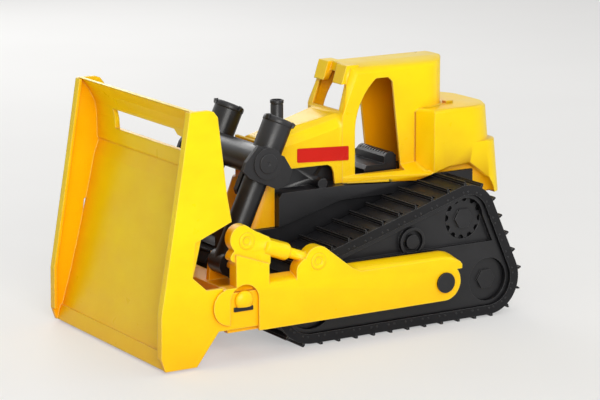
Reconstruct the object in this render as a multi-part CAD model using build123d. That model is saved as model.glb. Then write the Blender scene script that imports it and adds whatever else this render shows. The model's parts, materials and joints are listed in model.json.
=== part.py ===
"""Toy bulldozer with a high-drive track each side, a lifting blade and two telescoping
lift cylinders on a swinging yoke.  Millimetres.  +X forward, +Y left, +Z up, origin on
the floor below the middle of the overall length."""

import os
from math import asin, atan2, cos, degrees, hypot, pi, radians, sin

from build123d import *

# Walls and running clearances
WALL = 2.2
SEAT_GAP = 0.3
PIN_GAP = 0.06
SLIDE_GAP = 0.1

# Tracks: three wheels carry one ribbed loop on each side
TRACK_WIDTH = 50.0
TRACK_INNER_Y = 35.5
TRACK_THICKNESS = 8.0
RIB_HEIGHT = 2.0
RIB_THICKNESS = 2.2
GROOVE_DEPTH = 3.0
GROOVE_WIDTH = 5.0
SHOE_PITCH = 17.0
SHOE_END_BAND = 3.5
FRONT_IDLER_X = 32.0
FRONT_IDLER_RADIUS = 34.0
SPROCKET_X = -119.5
SPROCKET_Z = 87.0
SPROCKET_RADIUS = 29.0
REAR_IDLER_X = -143.0
REAR_IDLER_RADIUS = 30.0

# Track frames inside the loops, and their wheels
FRAME_STANDOFF = 5.0
FRAME_INSET = 3.0
FRAME_RIM = 4.0
WEB_DEPTH = 4.0
ROLLER_BEAM_TOP_Z = 65.0
WHEEL_POCKET = 8.0
WHEEL_MARGIN = 3.0
WHEEL_HUB = 9.0
WHEEL_FACETS = 36
SPROCKET_TEETH = 12
TOOTH_DEPTH = 3.0
HUB_X = -67.0
HUB_Z = 73.5
HUB_RADIUS = 6.0
HUB_ARCH_RADIUS = 12.0
HUB_ARCH_WIDTH = 2.2
BOSS_SIZE = 12.0

# Chassis between the tracks
CHASSIS_REAR_X = -160.0
CHASSIS_FRONT_X = 56.0
CHASSIS_BOTTOM_Z = 24.0
CHASSIS_HALF_WIDTH = 31.5
PANEL_BOTTOM_FRONT_Z = 88.0
PANEL_BOTTOM_REAR_Z = 105.0
PANEL_FRONT_X = 36.2
PANEL_STEP_X = -27.0
DECK_TOP_Z = 117.0
ENGINE_HALF_WIDTH = 18.0
ENGINE_TOP_Z = 150.0
KNOB_X = -9.8
KNOB_RISE = 3.4
KNOB_RADIUS = 4.6

# Hood and cab shell
HOOD_FRONT_X = 40.0
HOOD_FRONT_HALF_WIDTH = 23.0
HOOD_TOP_Z = 175.5
HOOD_CREASE_FRONT_Z = 158.0
HOOD_CREASE_REAR_Z = 166.0
HOOD_SHOULDER_FRONT_Z = 170.2
HOOD_SHOULDER_REAR_Z = 173.3
HOOD_SIDE_SLOPE = 0.525
HOOD_CROWN_SLOPE = 1.83
HOOD_BOTTOM_Z = 134.0
HOOD_ARCH_REAR_X = -26.0
CAB_FRONT_X = -33.0
CAB_REAR_X = -142.0
CAB_HALF_WIDTH = 27.5
CAB_CORNER_RADIUS = 24.0
ROOF_Z = 214.5
ROOF_EDGE_DROP = 7.0
ROOF_EDGE_IN = 6.0
PILLAR_TAPER = 6.0
WINDSHIELD_LEAN = 12.0
WINDSHIELD_HALF_WIDTH = 21.0
WINDSHIELD_SILL_Z = 177.0
WINDSHIELD_TOP_Z = 207.0
DOOR_FRONT_X = -45.3
DOOR_REAR_X = -91.4
DOOR_SILL_Z = 122.9
DOOR_SHOULDER_Z = 157.7
DOOR_TOP_DROP = 12.0
LAMP_WIDTH = 14.5
LAMP_HEIGHT = 15.5
LAMP_DEPTH = 4.5
LAMP_SPACING = 29.0

# Rear tank and the skirt that widens from the cab to it
TANK_HALF_WIDTH = 43.0
TANK_FRONT_X = -105.5
TANK_SIDE_FRONT_X = -115.0
TANK_MIDDLE_X = -140.0
TANK_REAR_TOP_X = -180.5
TANK_REAR_STEP_X = -184.5
TANK_REAR_X = -189.5
TANK_TOP_Z = 173.0
TANK_STEP_Z = 142.0
TANK_BOTTOM_Z = 96.0
TANK_UPPER_RADIUS = 29.0
TANK_LOWER_RADIUS = 17.0
TANK_EDGE = 2.5
TANK_GROOVE = 1.2
SKIRT_DROP = 3.5
SKIRT_FOLD_Z = 128.0
SKIRT_EDGE = 5.0
COLLAR_HEIGHT = 1.2
COLLAR_WIDTH = 1.4
LATCH_LENGTH = 6.0
LATCH_HEIGHT = 2.0

# Guard below the hood nose
GUARD_HALF_WIDTH = 28.0
GUARD_BOTTOM_X = 58.5
GUARD_TOP_X = 44.5
GUARD_BOTTOM_Z = 88.0
GUARD_TOP_Z = 123.0
GUARD_CORNER_RADIUS = 9.0
GUARD_BACK_TOP_Z = 161.0
GUARD_BACK_HALF_WIDTH = 19.0
GUARD_BACK_THICKNESS = 2.8

# Exhaust stack
STACK_X = 14.0
STACK_RADIUS = 5.0
STACK_TOP_Z = 188.0

# Seat with a ribbed back
SEAT_BACK_X = -84.0
SEAT_BACK_THICKNESS = 12.0
SEAT_BACK_TOP_Z = 138.0
SEAT_CUSHION_LENGTH = 20.0
SEAT_CUSHION_HEIGHT = 11.0
SEAT_HALF_WIDTH = 22.0
SEAT_RIB_PITCH = 4.0
SEAT_RIB_DEPTH = 1.4

# Swinging yoke and lift cylinders
YOKE_X = 56.0
YOKE_Z = 148.0
YOKE_TUBE_RADIUS = 12.5
YOKE_PLATE_Y = 52.2
YOKE_PLATE_THICKNESS = 3.6
YOKE_RING_RADIUS = 13.0
YOKE_RING_HEIGHT = 1.2
YOKE_PIN_RADIUS = 4.0
YOKE_PIN_HALF_LENGTH = 24.0
TONGUE_Y = 23.0
TONGUE_THICKNESS = 5.0
TONGUE_LENGTH = 25.0
TONGUE_RADIUS = 6.5
KNUCKLE_HALF_WIDTH = 9.7
KNUCKLE_RADIUS = 7.6
KNUCKLE_NECK = 5.0
KNUCKLE_GAP = 0.6
CYLINDER_Y = 39.5
CYLINDER_RADIUS = 12.3
CYLINDER_LEAN = 24.8
CYLINDER_SET_BACK = 5.0
BARREL_TOP = -37.6
BARREL_BOTTOM = 14.0
ROD_RADIUS = 10.0
ROD_TOP = 2.5
ROD_EYE = 86.4
EYE_PIN_RADIUS = 3.0
EYE_GAP = 0.6

# Push arms and the beam between them
ARM_CLEARANCE = 3.0
ARM_THICKNESS = 11.1
ARM_CHEEK = 1.8
ARM_BOTTOM_Z = 24.5
ARM_TOP_Z = 55.5
ARM_NOSE_X = 116.5
ARM_NOSE_Z = 47.0
ARM_NOSE_RADIUS = 15.0
ARM_SLOT_REAR_X = 84.0
TRUNNION_X = -88.0
TRUNNION_Z = 40.0
TRUNNION_RADIUS = 5.0
TRUNNION_HEAD_RADIUS = 8.5
TRUNNION_HEAD = 1.6
TOWER_REAR_X = 81.0
TOWER_FRONT_X = 117.0
TOWER_REAR_Z = 80.5
TOWER_FRONT_Z = 90.7
EAR_SETBACK = 2.2
EAR_FRONT_X = 101.0
EAR_FRONT_Z = 98.0
EAR_NOSE_X = 107.5
EAR_NOSE_Z = 100.0
EAR_NOSE_RADIUS = 13.5
EAR_REAR_X = 34.0
EAR_REAR_Z = 75.0
EAR_REAR_RADIUS = 15.0
EAR_BOSS_RADIUS = 7.6
EAR_BOSS_HEIGHT = 0.6
EAR_NUB = 3.5
BRACE_BARREL_RADIUS = 6.4
BRACE_ROD_RADIUS = 4.2
BRACE_BARREL_LENGTH = 24.0
EAR_FOOT_FRONT_X = 56.0
EAR_FOOT_REAR_X = 9.0
BEAM_REAR_X = 78.0
BEAM_FRONT_X = 100.0
BEAM_BOTTOM_Z = 26.0
BEAM_TOP_Z = 51.0
LUG_THICKNESS = 4.5
LUG_HALF_LENGTH = 8.0
BEAM_RIB_Y = 42.0
BEAM_RIB_THICKNESS = 4.0
TONGUE_PLATE_TOP_Z = 57.5
TONGUE_PLATE_BOTTOM_Z = 28.0
BALL_X = 103.5
BALL_Z = 50.5
BALL_RADIUS = 8.3
BALL_HEIGHT = 4.5
BALL_RECESS_RADIUS = 13.0
BALL_PIN_RADIUS = 4.0

# Blade
BLADE_PLATE = 3.1
BLADE_BOARD = 3.4
BLADE_FRONT_X = 177.5
BLADE_BOTTOM_Z = 2.0
BLADE_TOP_Z = 205.0
BLADE_RIM_WIDTH = 7.0
BLADE_RIM_THICKNESS = 2.6
BLADE_LIP_REACH = 14.5
BOARD_CURVE = [(42.0, 0.92), (37.0, 0.773), (32.0, 0.64), (26.0, 0.48), (18.5, 0.287),
               (10.5, 0.107), (6.0, 0.0)]
EDGE_HEIGHT = 12.0
EDGE_THICKNESS = 1.6
SLOT_HALF_LENGTH = 63.0
SLOT_TOP_DROP = 23.0
SLOT_HEIGHT = 16.0
SLOT_STEP_LENGTH = 17.0
SLOT_STEP_DROP = 5.0
BACK_RIB_Y = 30.0
BACK_RIB_DEPTH = 7.0
BACK_RIB_THICKNESS = 2.4

# Places that follow from the sizes above
ARM_INNER_Y = TRACK_INNER_Y + TRACK_WIDTH + ARM_CLEARANCE
ARM_OUTER_Y = ARM_INNER_Y + ARM_THICKNESS
BLADE_HALF_WIDTH = ARM_OUTER_Y - ARM_CHEEK - SEAT_GAP
FRAME_OUTER_Y = TRACK_INNER_Y + TRACK_WIDTH - FRAME_INSET
FRAME_INNER_Y = TRACK_INNER_Y + FRAME_STANDOFF
SHELL_BOTTOM_Z = DECK_TOP_Z + SEAT_GAP
DOOR_TOP_Z = ROOF_Z - DOOR_TOP_DROP
SLOT_TOP_Z = BLADE_TOP_Z - SLOT_TOP_DROP
SLOT_BOTTOM_Z = SLOT_TOP_Z - SLOT_HEIGHT
NOTCH_TOP_Z = EAR_NOSE_Z + EAR_NOSE_RADIUS + 1.5
GUARD_REAR_X = PANEL_FRONT_X - 3.0
BACK_FRONT_X = HOOD_FRONT_X + SEAT_GAP + GUARD_BACK_THICKNESS
FAR = 400.0


def face_across(points, y):
    """Face in the XZ plane at a given Y."""
    return make_face(Polyline(*[(x, y, z) for x, z in points], close=True))


def prism(points, y_low, y_high):
    """Straight-sided slab across Y from an (x, z) outline."""
    return extrude(face_across(points, y_low), amount=y_high - y_low, dir=(0, 1, 0))


def prism_x(points, x_low, x_high):
    """Straight-sided bar along X from a (y, z) outline."""
    face = make_face(Polyline(*[(x_low, y, z) for y, z in points], close=True))
    return extrude(face, amount=x_high - x_low, dir=(1, 0, 0))


def block(x_low, x_high, y_low, y_high, z_low, z_high):
    size = (x_high - x_low, y_high - y_low, z_high - z_low)
    middle = ((x_low + x_high) / 2, (y_low + y_high) / 2, (z_low + z_high) / 2)
    return Pos(*middle) * Box(*size)


def rod_y(x, z, radius, y_low, y_high):
    """Cylinder along Y."""
    return Pos(x, (y_low + y_high) / 2, z) * Rot(90, 0, 0) * Cylinder(radius, y_high - y_low)


def both_sides(solid):
    return solid + mirror(solid, about=Plane.XZ)


def right_of(solid):
    return mirror(solid, about=Plane.XZ)


# Track loop

def wheels(inset):
    """Wheel circles (x, z, radius), counter-clockwise with +X to the right."""
    return [
        (FRONT_IDLER_X, FRONT_IDLER_RADIUS + RIB_HEIGHT, FRONT_IDLER_RADIUS - inset),
        (SPROCKET_X, SPROCKET_Z, SPROCKET_RADIUS - inset),
        (REAR_IDLER_X, REAR_IDLER_RADIUS + RIB_HEIGHT, REAR_IDLER_RADIUS - inset),
    ]


def on_circle(circle, angle, y):
    x, z, radius = circle
    return (x + radius * cos(angle), y, z + radius * sin(angle))


def loop_wire(inset, y):
    """Belt line round the wheels, moved inwards by inset from the shoe faces."""
    circles = wheels(inset)
    normals = []
    for circle, following in zip(circles, circles[1:] + circles[:1]):
        run_x = following[0] - circle[0]
        run_z = following[1] - circle[1]
        heading = atan2(run_z, run_x)
        skew = asin((circle[2] - following[2]) / hypot(run_x, run_z))
        normals.append(heading - pi / 2 + skew)
    edges = []
    for index, circle in enumerate(circles):
        arriving = normals[index - 1]
        leaving = normals[index]
        while leaving < arriving:
            leaving += 2 * pi
        following = circles[(index + 1) % 3]
        edges.append(ThreePointArc(on_circle(circle, arriving, y),
                                   on_circle(circle, (arriving + leaving) / 2, y),
                                   on_circle(circle, leaving, y)))
        edges.append(Line(on_circle(circle, leaving, y), on_circle(following, leaving, y)))
    return Wire(edges)


def loop_solid(inset, y_low, y_high):
    return extrude(make_face(loop_wire(inset, y_low)), amount=y_high - y_low, dir=(0, 1, 0))


def track():
    """Belt with a recess behind each rib; the recesses stop short of the outer edge."""
    y_low = TRACK_INNER_Y
    y_high = TRACK_INNER_Y + TRACK_WIDTH
    belt = loop_solid(0, y_low, y_high) - loop_solid(TRACK_THICKNESS, y_low - 1, y_high + 1)
    path = loop_wire(0, y_low)
    count = round(path.length / SHOE_PITCH)
    grooves = []
    ribs = []
    root = GROOVE_DEPTH / 2
    for index in range(count):
        for shift, pieces, width, low, high, middle_y in (
                (0.5, ribs, RIB_THICKNESS, -root, RIB_HEIGHT, y_low + TRACK_WIDTH / 2),
                (0.5 + (RIB_THICKNESS + GROOVE_WIDTH) / 2 / SHOE_PITCH, grooves, GROOVE_WIDTH,
                 -GROOVE_DEPTH, GROOVE_DEPTH, y_low + TRACK_WIDTH / 2 - SHOE_END_BAND)):
            spot = ((index + shift) / count) % 1.0
            point = path @ spot
            along = path % spot
            angle = degrees(atan2(along.Z, along.X))
            shape = Pos(0, 0, -(low + high) / 2) * Box(width, TRACK_WIDTH, high - low)
            pieces.append(Pos(point.X, middle_y, point.Z) * Rot(0, -angle, 0) * shape)
    return belt - grooves + ribs


def track_frame():
    """Roller beam below, recessed web above it, wheel pockets and the carrier hub."""
    inset = TRACK_THICKNESS + SEAT_GAP
    frame = loop_solid(inset, FRAME_INNER_Y, FRAME_OUTER_Y)
    web_y = FRAME_OUTER_Y - WEB_DEPTH
    recess = loop_solid(inset + FRAME_RIM, web_y, FRAME_OUTER_Y + 1)
    recess &= block(-FAR, FAR, 0, FAR, ROLLER_BEAM_TOP_Z, FAR)
    arch = rod_y(HUB_X, HUB_Z, HUB_ARCH_RADIUS, web_y, FRAME_OUTER_Y)
    arch -= rod_y(HUB_X, HUB_Z, HUB_ARCH_RADIUS - HUB_ARCH_WIDTH, web_y, FRAME_OUTER_Y)
    arch &= block(-FAR, FAR, 0, FAR, ROLLER_BEAM_TOP_Z, FAR)
    hub = rod_y(HUB_X, HUB_Z, HUB_RADIUS, web_y, FRAME_OUTER_Y)
    frame -= recess - arch - hub
    for x, z, radius in wheels(inset + WHEEL_MARGIN):
        frame -= disc_y(x, z, radius, FRAME_OUTER_Y - WHEEL_POCKET, FRAME_OUTER_Y + 1)
    return frame


def disc_y(x, z, radius, y_low, y_high):
    """Many-sided disc across Y, for the wheels' rims and the pockets round them."""
    face = Plane.XZ * RegularPolygon(radius, WHEEL_FACETS)
    return Pos(x, y_low, z) * extrude(face, amount=y_high - y_low, dir=(0, 1, 0))


def wheel(which):
    """Disc in its pocket with a six-sided hub."""
    x, z, radius = wheels(TRACK_THICKNESS + SEAT_GAP + WHEEL_MARGIN)[which]
    floor_y = FRAME_OUTER_Y - WHEEL_POCKET
    hub = extrude(Plane.XZ * RegularPolygon(WHEEL_HUB, 6), amount=WHEEL_POCKET / 4 + 1,
                  dir=(0, 1, 0))
    disc = disc_y(x, z, radius - SEAT_GAP, floor_y, floor_y + WHEEL_POCKET / 2)
    return disc + Pos(x, floor_y + WHEEL_POCKET / 2 - 1, z) * hub


def sprocket():
    """Toothed wheel at the top of the loop."""
    x, z, radius = wheels(TRACK_THICKNESS + SEAT_GAP + WHEEL_MARGIN)[1]
    floor_y = FRAME_OUTER_Y - WHEEL_POCKET
    outline = []
    step = 2 * pi / SPROCKET_TEETH
    for tooth in range(SPROCKET_TEETH):
        for share, reach in ((0.0, radius - SEAT_GAP - TOOTH_DEPTH),
                             (0.35, radius - SEAT_GAP - TOOTH_DEPTH),
                             (0.5, radius - SEAT_GAP), (0.85, radius - SEAT_GAP)):
            turn = (tooth + share) * step
            outline.append((x + reach * cos(turn), z + reach * sin(turn)))
    hub = extrude(Plane.XZ * RegularPolygon(WHEEL_HUB, 6), amount=WHEEL_POCKET / 4 + 1,
                  dir=(0, 1, 0))
    disc = prism(outline, floor_y, floor_y + WHEEL_POCKET / 2)
    return disc + Pos(x, floor_y + WHEEL_POCKET / 2 - 1, z) * hub


def trunnion():
    pin = rod_y(TRUNNION_X, TRUNNION_Z, TRUNNION_RADIUS, FRAME_OUTER_Y, ARM_OUTER_Y + SEAT_GAP)
    pin += rod_y(TRUNNION_X, TRUNNION_Z, TRUNNION_HEAD_RADIUS, ARM_OUTER_Y + SEAT_GAP,
                 ARM_OUTER_Y + SEAT_GAP + TRUNNION_HEAD)
    return pin


# Chassis

def chassis():
    """Tub between the tracks, wider panels along its top, and the block under the hood."""
    half = TRACK_INNER_Y - SEAT_GAP
    tub = block(CHASSIS_REAR_X, CHASSIS_FRONT_X, -CHASSIS_HALF_WIDTH, CHASSIS_HALF_WIDTH,
                CHASSIS_BOTTOM_Z, PANEL_BOTTOM_FRONT_Z - SEAT_GAP)
    panel = [
        (PANEL_FRONT_X, PANEL_BOTTOM_FRONT_Z - SEAT_GAP), (PANEL_FRONT_X, DECK_TOP_Z - 9.5),
        (PANEL_FRONT_X - 6.0, DECK_TOP_Z), (CHASSIS_REAR_X, DECK_TOP_Z),
        (CHASSIS_REAR_X, PANEL_BOTTOM_REAR_Z), (PANEL_STEP_X, PANEL_BOTTOM_REAR_Z),
    ]
    tub += prism(panel, -half, half)
    core = [
        (CHASSIS_REAR_X, CHASSIS_BOTTOM_Z), (PANEL_FRONT_X - 4.0, CHASSIS_BOTTOM_Z),
        (PANEL_FRONT_X - 4.0, DECK_TOP_Z - 1), (CHASSIS_REAR_X, DECK_TOP_Z - 1),
    ]
    tub += prism(core, -CHASSIS_HALF_WIDTH, CHASSIS_HALF_WIDTH)
    tub += block(CAB_FRONT_X, HOOD_FRONT_X - WALL - SEAT_GAP, -ENGINE_HALF_WIDTH,
                 ENGINE_HALF_WIDTH, DECK_TOP_Z - 20.0, ENGINE_TOP_Z)
    tub -= block(PANEL_FRONT_X - 3.0, FAR, -FAR, FAR, PANEL_BOTTOM_FRONT_Z - SEAT_GAP,
                 ENGINE_TOP_Z + 1)
    tub += both_sides(rod_y(KNOB_X, DECK_TOP_Z + KNOB_RISE, KNOB_RADIUS,
                            ENGINE_HALF_WIDTH - 1, half - 1.5))
    reach = FRAME_INNER_Y - SEAT_GAP
    for x, z, _ in wheels(0):
        tub += block(x - BOSS_SIZE / 2, x + BOSS_SIZE / 2, -reach, reach,
                     z - BOSS_SIZE / 2, z + BOSS_SIZE / 2)
    return tub


# Shell

def hood(inset):
    """Tapered hood, wider at the cab, with a crowned top and planar faces."""
    sections = []
    for x, half, crease, shoulder in (
            (HOOD_FRONT_X - inset, HOOD_FRONT_HALF_WIDTH, HOOD_CREASE_FRONT_Z,
             HOOD_SHOULDER_FRONT_Z),
            (CAB_FRONT_X - 6, CAB_HALF_WIDTH, HOOD_CREASE_REAR_Z, HOOD_SHOULDER_REAR_Z)):
        shoulder_y = half - HOOD_SIDE_SLOPE * (shoulder - crease)
        crown_y = shoulder_y - HOOD_CROWN_SLOPE * (HOOD_TOP_Z - shoulder)
        right = [(half, SHELL_BOTTOM_Z), (half, crease), (shoulder_y, shoulder),
                 (crown_y, HOOD_TOP_Z)]
        right = [(y - inset, z - inset) for y, z in right]
        outline = right + [(-y, z) for y, z in reversed(right)]
        sections.append(make_face(Polyline(*[(x, y, z) for y, z in outline], close=True)))
    return loft(sections, ruled=True)


def hood_arch():
    """Opening in each side below the hood, closed by a curve ahead of the cab."""
    top = HOOD_BOTTOM_Z
    rear = HOOD_ARCH_REAR_X
    bend = 7.0
    points = [
        (FAR, 0), (FAR, top), (rear + bend, top), (rear + bend * 0.45, top - bend * 0.3),
        (rear + bend * 0.15, top - bend), (rear, SHELL_BOTTOM_Z), (rear, 0),
    ]
    return prism(points, -FAR, FAR)


def cab(inset):
    """Side profile, front profile and rounded plan, each cut through the other two."""
    half = CAB_HALF_WIDTH - inset
    roof = ROOF_Z - inset
    bottom = SHELL_BOTTOM_Z - inset
    front = CAB_FRONT_X - inset
    rear = CAB_REAR_X + inset
    side = prism([(front, bottom), (front, WINDSHIELD_SILL_Z), (front - WINDSHIELD_LEAN, roof),
                  (rear, roof), (rear, bottom)], -half, half)
    edge_y = half - ROOF_EDGE_IN
    edge_z = roof - ROOF_EDGE_DROP
    right = [(half, bottom), (half, edge_z), (half - ROOF_EDGE_IN * 0.3, edge_z + 3.0),
             (edge_y, roof - 2.0), (half * 0.4, roof)]
    side &= prism_x(right + [(-y, z) for y, z in reversed(right)], rear, front + 1)
    plan = make_face(Polyline((front + 1, -half, bottom), (front + 1, half, bottom),
                              (rear, half, bottom), (rear, -half, bottom), close=True))
    plan = fillet(plan.vertices().sort_by(Axis.X)[:2], CAB_CORNER_RADIUS - inset)
    return side & extrude(plan, amount=roof - bottom, dir=(0, 0, 1))


def pillar_cuts():
    """Slanted facets that narrow the cab's front corners towards the roof."""
    cuts = None
    for turn in (1, -1):
        base = (CAB_FRONT_X, turn * CAB_HALF_WIDTH, WINDSHIELD_SILL_Z - 4)
        top_x = CAB_FRONT_X - WINDSHIELD_LEAN
        inner = (top_x + 1, turn * (CAB_HALF_WIDTH - PILLAR_TAPER), ROOF_Z + 1)
        outer = (top_x - PILLAR_TAPER, turn * CAB_HALF_WIDTH, ROOF_Z + 1)
        corner = (top_x + 12, turn * (CAB_HALF_WIDTH + 8), ROOF_Z + 1)
        faces = [
            make_face(Polyline(inner, outer, corner, close=True)),
            make_face(Polyline(base, inner, outer, close=True)),
            make_face(Polyline(base, outer, corner, close=True)),
            make_face(Polyline(base, corner, inner, close=True)),
        ]
        wedge = Solid(Shell(faces))
        cuts = wedge if cuts is None else cuts + wedge
    return cuts


def tank_level(z_low, z_high, rear_low, rear_high, radius):
    """One level of the tank: upright front half, rear half leaning with its rounded corners."""
    side = TANK_HALF_WIDTH
    middle = TANK_MIDDLE_X
    front = make_face(Polyline(
        (TANK_FRONT_X, -CAB_HALF_WIDTH, z_low), (TANK_SIDE_FRONT_X, -side, z_low),
        (middle - 8, -side, z_low), (middle - 8, side, z_low), (TANK_SIDE_FRONT_X, side, z_low),
        (TANK_FRONT_X, CAB_HALF_WIDTH, z_low), close=True))
    level = extrude(front, amount=z_high - z_low, dir=(0, 0, 1))
    rear = make_face(Polyline((middle, -side, z_low), (rear_low, -side, z_low),
                              (rear_low, side, z_low), (middle, side, z_low), close=True))
    rear = fillet(rear.vertices().sort_by(Axis.X)[:2], radius)
    lean = (rear_high - rear_low, 0, z_high - z_low)
    return level + extrude(rear, amount=hypot(lean[0], lean[2]), dir=lean)


def tank():
    lower = tank_level(TANK_BOTTOM_Z, TANK_STEP_Z, TANK_REAR_X, TANK_REAR_STEP_X,
                       TANK_LOWER_RADIUS)
    upper = tank_level(TANK_STEP_Z, TANK_TOP_Z, TANK_REAR_STEP_X + 0.8, TANK_REAR_TOP_X,
                       TANK_UPPER_RADIUS)
    rim = upper.edges().filter_by_position(Axis.Z, TANK_TOP_Z - 0.01, TANK_TOP_Z + 0.01)
    return lower + chamfer(rim, TANK_EDGE)


def skirt():
    """Foot of the shell on each side, widening from the cab to the tank."""
    bottom = SHELL_BOTTOM_Z
    fold = SKIRT_FOLD_Z
    inner = CAB_HALF_WIDTH - 6
    sections = []
    for x, half, low, top in ((CAB_FRONT_X, CAB_HALF_WIDTH + 0.4, bottom - 0.6, bottom + 4.0),
                              (TANK_SIDE_FRONT_X, TANK_HALF_WIDTH, bottom - SKIRT_DROP, fold)):
        outline = [(inner, low), (half, low), (half, low + SKIRT_EDGE),
                   (CAB_HALF_WIDTH - 0.2, top + 1.0), (inner, top + 1.0)]
        sections.append(make_face(Polyline(*[(x, y, z) for y, z in outline], close=True)))
    return both_sides(loft(sections, ruled=True))


def track_arch():
    """Space over each track below the skirt and tank."""
    low = SHELL_BOTTOM_Z - SKIRT_DROP
    points = [
        (TANK_SIDE_FRONT_X + 18.0, 0), (TANK_SIDE_FRONT_X + 18.0, low),
        (SPROCKET_X + 9.0, low + 4.0), (SPROCKET_X, low + 7.0), (SPROCKET_X - 11.0, low + 10.2),
        (SPROCKET_X - 32.5, low + 11.2), (SPROCKET_X - 52.5, low - 4.0),
        (TANK_REAR_X + 11.0, TANK_BOTTOM_Z + 1.5), (TANK_REAR_X + 11.0, 0),
    ]
    return both_sides(prism(points, TRACK_INNER_Y - 1.5, FAR))


def door_cut():
    front = (DOOR_FRONT_X, DOOR_SHOULDER_Z)
    top = (DOOR_FRONT_X - 20.7, DOOR_TOP_Z)
    bulge = (DOOR_FRONT_X - 7.0, DOOR_TOP_Z - 16.5)
    y = -FAR
    edges = [
        Line((DOOR_REAR_X, y, DOOR_SILL_Z), (DOOR_FRONT_X, y, DOOR_SILL_Z)),
        Line((DOOR_FRONT_X, y, DOOR_SILL_Z), (front[0], y, front[1])),
        ThreePointArc((front[0], y, front[1]), (bulge[0], y, bulge[1]), (top[0], y, top[1])),
        Line((top[0], y, top[1]), (top[0] - 12.0, y, DOOR_TOP_Z)),
        Line((top[0] - 12.0, y, DOOR_TOP_Z), (top[0] - 16.5, y, DOOR_TOP_Z - 4.0)),
        Line((top[0] - 16.5, y, DOOR_TOP_Z - 4.0), (DOOR_REAR_X, y, DOOR_SILL_Z)),
    ]
    return extrude(make_face(Wire(edges)), amount=2 * FAR, dir=(0, 1, 0))


def lamp(y):
    """Roof lamp, leaning with the windshield that it stands on."""
    slope = WINDSHIELD_LEAN / (ROOF_Z - WINDSHIELD_SILL_Z)
    low_z = ROOF_Z - LAMP_HEIGHT
    low_x = CAB_FRONT_X - slope * (low_z - WINDSHIELD_SILL_Z) + LAMP_DEPTH
    top_x = CAB_FRONT_X - WINDSHIELD_LEAN + LAMP_DEPTH
    points = [(low_x, low_z), (top_x, ROOF_Z), (top_x - 12.0, ROOF_Z),
              (top_x - 12.0, ROOF_Z - WALL), (low_x - LAMP_DEPTH - 1.0, low_z)]
    return prism(points, y - LAMP_WIDTH / 2, y + LAMP_WIDTH / 2)


def body_shell():
    """Hood, cab, skirt and tank in one moulding, hollow under the hood and in the cab."""
    collar_front = CAB_REAR_X + CAB_CORNER_RADIUS + 5.0
    collar = make_face(Polyline(
        (collar_front, -CAB_HALF_WIDTH - COLLAR_WIDTH, TANK_TOP_Z - 1),
        (CAB_REAR_X - COLLAR_WIDTH, -CAB_HALF_WIDTH - COLLAR_WIDTH, TANK_TOP_Z - 1),
        (CAB_REAR_X - COLLAR_WIDTH, CAB_HALF_WIDTH + COLLAR_WIDTH, TANK_TOP_Z - 1),
        (collar_front, CAB_HALF_WIDTH + COLLAR_WIDTH, TANK_TOP_Z - 1), close=True))
    collar = fillet(collar.vertices().sort_by(Axis.X)[:2], CAB_CORNER_RADIUS + COLLAR_WIDTH)
    shell = hood(0) - hood_arch()
    shell += cab(0) - pillar_cuts()
    shell += tank()
    shell += skirt()
    shell += extrude(collar, amount=COLLAR_HEIGHT + 1, dir=(0, 0, 1))
    shell -= track_arch()
    shell -= block(CHASSIS_REAR_X - SEAT_GAP, FAR, -TRACK_INNER_Y, TRACK_INNER_Y,
                   0, SHELL_BOTTOM_Z)
    shell -= both_sides(block(TANK_FRONT_X - TANK_GROOVE / 2, TANK_FRONT_X + TANK_GROOVE / 2,
                              CAB_HALF_WIDTH - TANK_GROOVE, CAB_HALF_WIDTH + TANK_GROOVE / 2,
                              SKIRT_FOLD_Z, TANK_TOP_Z - TANK_EDGE))
    shell -= cab(WALL) + hood(WALL)
    shell -= door_cut()
    sill = WINDSHIELD_SILL_Z + 0.5
    shell -= prism_x([(-WINDSHIELD_HALF_WIDTH, sill), (WINDSHIELD_HALF_WIDTH, sill),
                      (WINDSHIELD_HALF_WIDTH - 2.5, WINDSHIELD_TOP_Z),
                      (-WINDSHIELD_HALF_WIDTH + 2.5, WINDSHIELD_TOP_Z)],
                     CAB_FRONT_X - 22, CAB_FRONT_X + 5)
    shell += both_sides(lamp(LAMP_SPACING / 2))
    latch = block(CAB_REAR_X - COLLAR_WIDTH - LATCH_LENGTH, CAB_REAR_X - COLLAR_WIDTH + 1,
                  CAB_HALF_WIDTH / 2, CAB_HALF_WIDTH / 2 + LATCH_LENGTH,
                  TANK_TOP_Z - 1, TANK_TOP_Z + LATCH_HEIGHT)
    return shell + both_sides(latch)


def front_guard():
    """Sloping guard with rounded front corners; the yoke's knuckle stands on its back."""
    half = GUARD_HALF_WIDTH
    profile = [
        (GUARD_REAR_X, GUARD_BOTTOM_Z), (GUARD_BOTTOM_X, GUARD_BOTTOM_Z),
        (GUARD_TOP_X, GUARD_TOP_Z), (GUARD_REAR_X, GUARD_TOP_Z),
    ]
    guard = prism(profile, -half, half)
    slope = guard.faces().sort_by(Axis.X)[-1]
    corners = [edge for edge in slope.edges() if abs(edge.center().Y) > half - 1]
    guard = fillet(corners, GUARD_CORNER_RADIUS)
    return guard + block(HOOD_FRONT_X + SEAT_GAP, BACK_FRONT_X, -GUARD_BACK_HALF_WIDTH,
                         GUARD_BACK_HALF_WIDTH, GUARD_TOP_Z - 6, GUARD_BACK_TOP_Z)


def exhaust_stack():
    return Pos(STACK_X, 0, (HOOD_TOP_Z + STACK_TOP_Z) / 2) * Cylinder(
        STACK_RADIUS, STACK_TOP_Z - HOOD_TOP_Z)


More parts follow.
